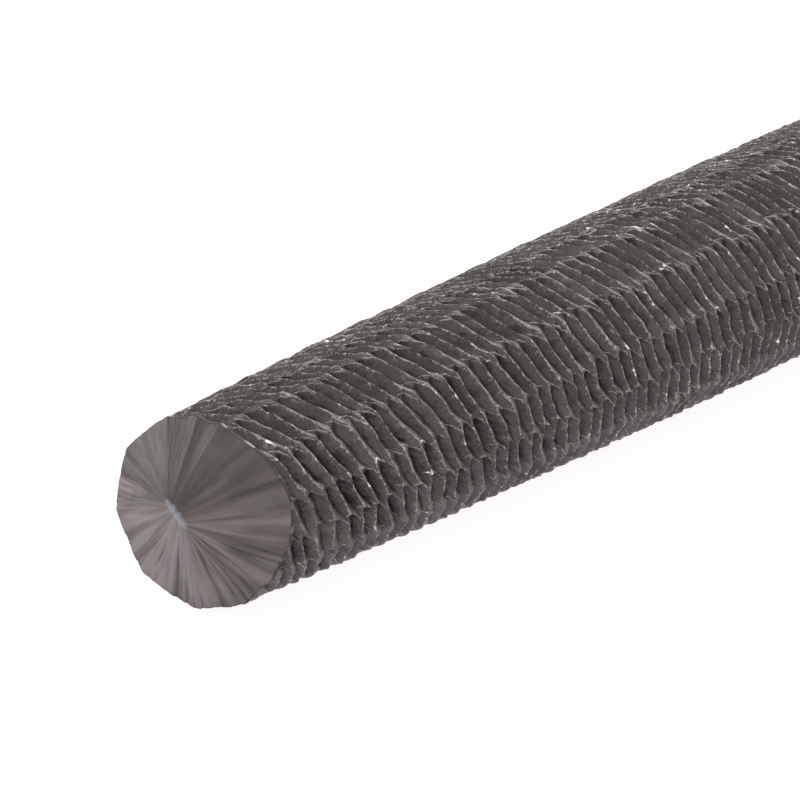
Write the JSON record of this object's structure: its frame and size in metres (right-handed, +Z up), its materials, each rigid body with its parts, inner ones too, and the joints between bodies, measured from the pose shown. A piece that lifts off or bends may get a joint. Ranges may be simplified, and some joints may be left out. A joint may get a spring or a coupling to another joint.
{
  "type": "round file",
  "caption": "Tapered round hand file with slanted rows of teeth and a low coned point, its tang driven into an eight-sided wooden handle with a pinned steel ferrule and a hanging hole.",
  "frame": {"origin": "bottom centre of the file's bounding box as it lies at rest on a bench, teeth and handle's belly touching z = 0", "axes": "+X from the point towards the handle's butt, +Z up, +Y across the file along the hanging hole"},
  "size_m": [0.3738, 0.027, 0.0291],
  "materials": {
    "file_steel": "hardened, dull dark grey",
    "beech": "oiled",
    "ferrule_steel": "nickel plated, satin",
    "pin_steel": "filed flush"
  },
  "bodies": {
    "root": {"file_blade": "file_steel", "handle": "beech", "ferrule": "ferrule_steel", "ferrule_pins": "pin_steel"}
  },
  "joints": []
}
